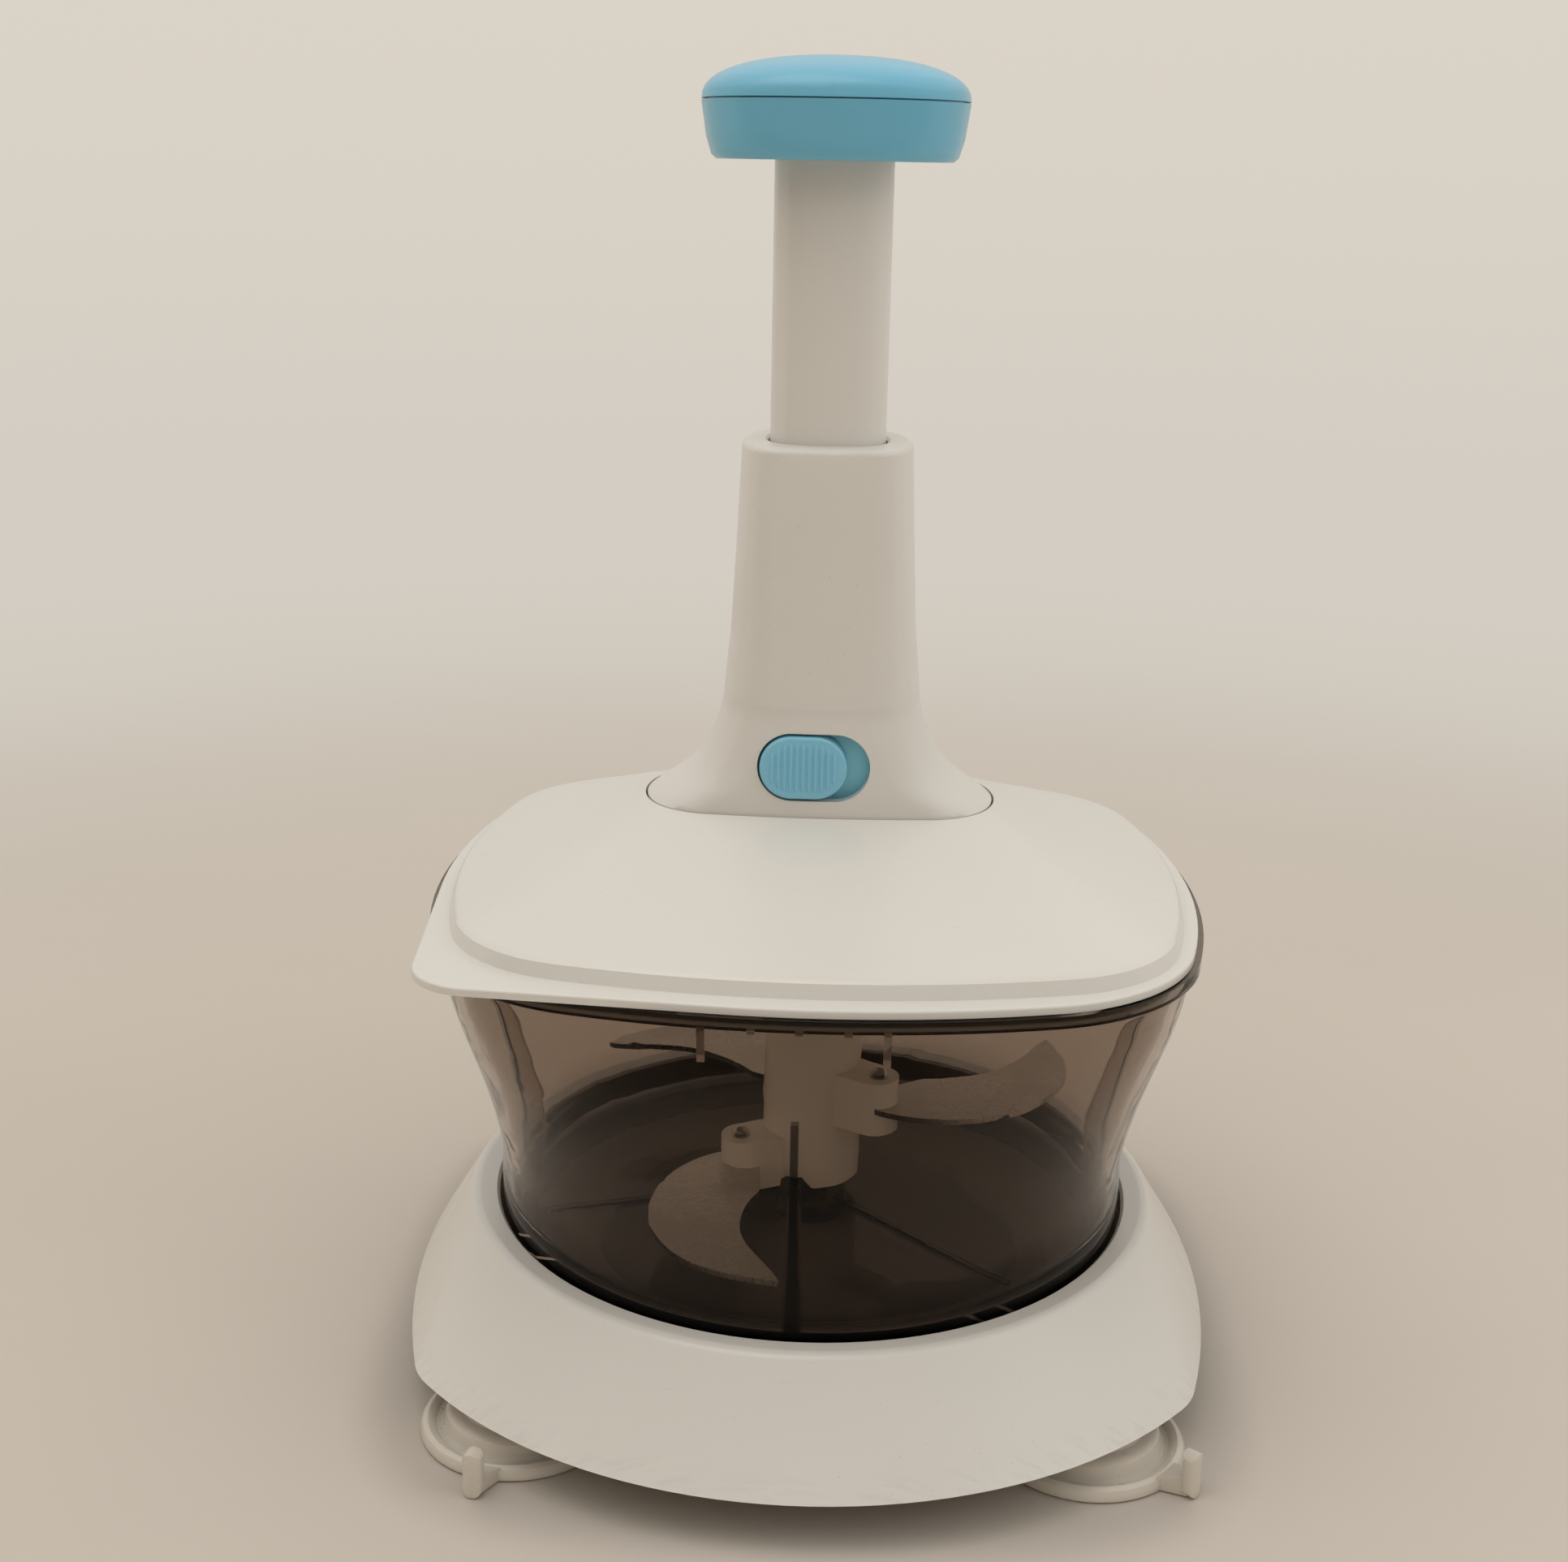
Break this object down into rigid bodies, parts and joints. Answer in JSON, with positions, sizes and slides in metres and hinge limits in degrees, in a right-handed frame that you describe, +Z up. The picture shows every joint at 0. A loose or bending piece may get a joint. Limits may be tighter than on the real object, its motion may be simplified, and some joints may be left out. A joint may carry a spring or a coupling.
{
  "type": "plunger food chopper",
  "caption": "Hand food chopper: clear bowl with stacked sickle blades, domed lid with a spring-loaded push knob and a lock slide, on a flared base held down by suction cups",
  "frame": {"origin": "on the table under the middle of the base", "axes": "+X right, +Y towards the back, +Z up"},
  "size_m": [0.166, 0.1764, 0.2565],
  "materials": {
    "white_plastic": "glossy moulded warm white",
    "blue_plastic": "satin moulded light blue",
    "smoke_clear": "clear moulded, smoke tint",
    "clear_vinyl": "soft translucent vinyl",
    "nylon": "natural nylon",
    "silicone": "soft matt silicone",
    "blade_steel": "fine ground stainless",
    "pin_steel": "polished stainless",
    "screw_steel": "zinc plated",
    "spindle_steel": "drawn bar",
    "spring_steel": "drawn spring wire"
  },
  "bodies": {
    "base": {"base_shell": "white_plastic", "suction_cup_front_left": "clear_vinyl", "suction_cup_front_right": "clear_vinyl", "suction_cup_rear_left": "clear_vinyl", "suction_cup_rear_right": "clear_vinyl"},
    "bowl": {"bowl": "smoke_clear", "blade_pin": "pin_steel"},
    "rotor": {"blade_hub": "white_plastic", "blade_low": "blade_steel", "blade_mid": "blade_steel", "blade_high": "blade_steel", "blade_rivets": "pin_steel"},
    "lid": {"lid_cover": "white_plastic", "lid_plate": "white_plastic", "lid_seal": "silicone", "lid_screws": "screw_steel", "tower_housing": "white_plastic", "tower_screws": "screw_steel", "guide_sleeve": "nylon", "spindle_bush": "nylon"},
    "plunger": {"push_tube": "white_plastic", "drive_nut": "nylon", "nut_pins": "pin_steel", "knob_base": "blue_plastic", "knob_top": "blue_plastic", "knob_screw": "screw_steel", "return_spring": "spring_steel"},
    "spindle": {"spindle": "spindle_steel", "spring_seat": "nylon", "drive_dog": "nylon", "dog_screw": "screw_steel"},
    "switch": {"slide_switch": "blue_plastic", "lock_tongue": "blue_plastic"}
  },
  "joints": [
    {"name": "bowl_lift", "type": "slide", "parent": "base", "child": "bowl", "axis": [0, 0, 1], "range_m": [0, 0.04]},
    {"name": "lid_lift", "type": "slide", "parent": "bowl", "child": "lid", "axis": [0, 0, 1], "range_m": [0, 0.06]},
    {"name": "plunger_slide", "type": "slide", "parent": "lid", "child": "plunger", "axis": [0, 0, -1], "range_m": [0, 0.05], "stiffness_N_per_m": 300, "springref_m": -0.02, "deforming": ["return_spring"]},
    {"name": "spindle_spin", "type": "hinge", "parent": "lid", "child": "spindle", "pos_m": [0, 0, 0.1], "axis": [0, 0, -1], "range_deg": [0, 643]},
    {"name": "blade_spin", "type": "hinge", "parent": "bowl", "child": "rotor", "pos_m": [0, 0, 0.04], "axis": [0, 0, -1], "range_deg": [0, 643]},
    {"name": "switch_slide", "type": "slide", "parent": "lid", "child": "switch", "axis": [1, 0, 0], "range_m": [0, 0.0042]}
  ],
  "couplings": [
    {"joint": "spindle_spin", "follows": "plunger_slide", "rad_per_m": 224.4},
    {"joint": "blade_spin", "follows": "plunger_slide", "rad_per_m": 224.4}
  ]
}
